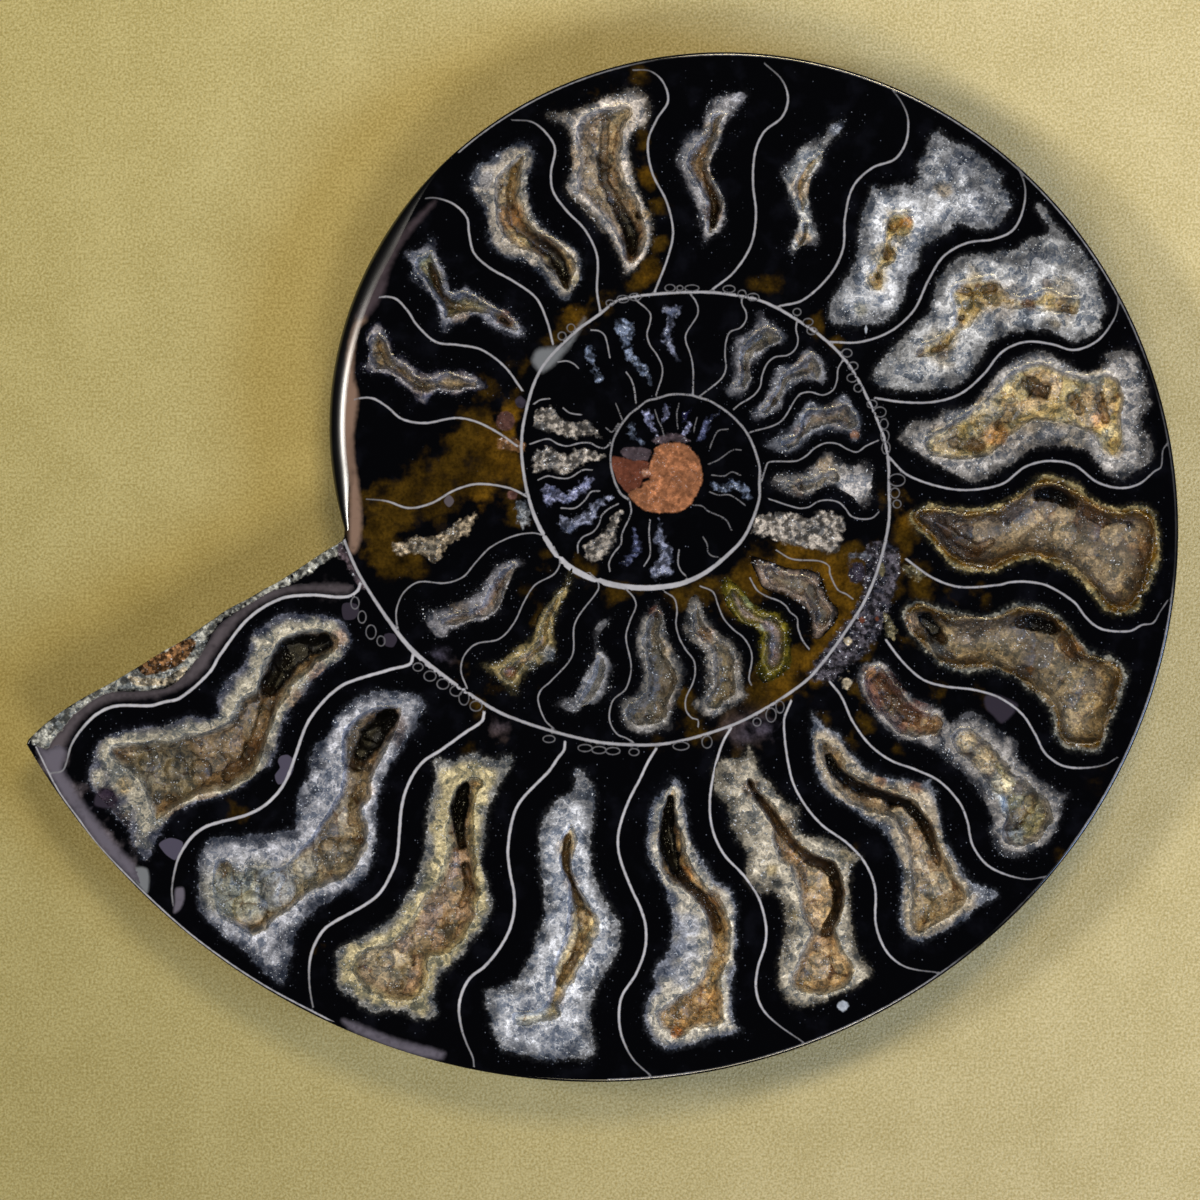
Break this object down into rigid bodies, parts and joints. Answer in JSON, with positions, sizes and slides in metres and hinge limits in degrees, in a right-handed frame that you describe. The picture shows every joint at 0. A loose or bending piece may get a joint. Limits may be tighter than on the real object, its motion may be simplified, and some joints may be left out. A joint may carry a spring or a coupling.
{
  "type": "polished ammonite half",
  "caption": "Half of a coiled ammonite shell, sawn and polished along its middle plane, with crystal-lined chambers in the cut face and a domed back.",
  "frame": {"origin": "centre of the outline seen from above, on the floor under the domed back", "axes": "+Z out of the polished cut face, +X along the length from the broken end, +Y across it"},
  "size_m": [0.1152, 0.103, 0.0149],
  "materials": {
    "black_calcite": "polished",
    "white_crystal": "rough crystal",
    "cream_crystal": "rough crystal",
    "tan_crystal": "rough crystal",
    "grey_crystal": "rough crystal",
    "ochre_crystal": "rough crystal"
  },
  "bodies": {
    "root": {"fossil": "black_calcite", "crystals_01": "grey_crystal", "crystals_02": "white_crystal", "crystals_03": "cream_crystal", "crystals_04": "white_crystal", "crystals_05": "white_crystal", "crystals_06": "cream_crystal", "crystals_07": "cream_crystal", "crystals_08": "grey_crystal", "crystals_09": "tan_crystal", "crystals_10": "tan_crystal", "crystals_11": "cream_crystal", "crystals_12": "white_crystal", "crystals_13": "white_crystal", "crystals_14": "grey_crystal", "crystals_15": "tan_crystal", "crystals_16": "tan_crystal", "crystals_17": "ochre_crystal", "crystals_18": "grey_crystal", "crystals_19": "grey_crystal", "crystals_20": "grey_crystal", "crystals_21": "ochre_crystal", "crystals_22": "white_crystal", "crystals_23": "tan_crystal", "crystals_24": "grey_crystal", "crystals_25": "ochre_crystal", "crystals_26": "cream_crystal", "crystals_27": "grey_crystal", "crystals_28": "grey_crystal", "crystals_29": "grey_crystal", "crystals_30": "white_crystal"}
  },
  "joints": []
}
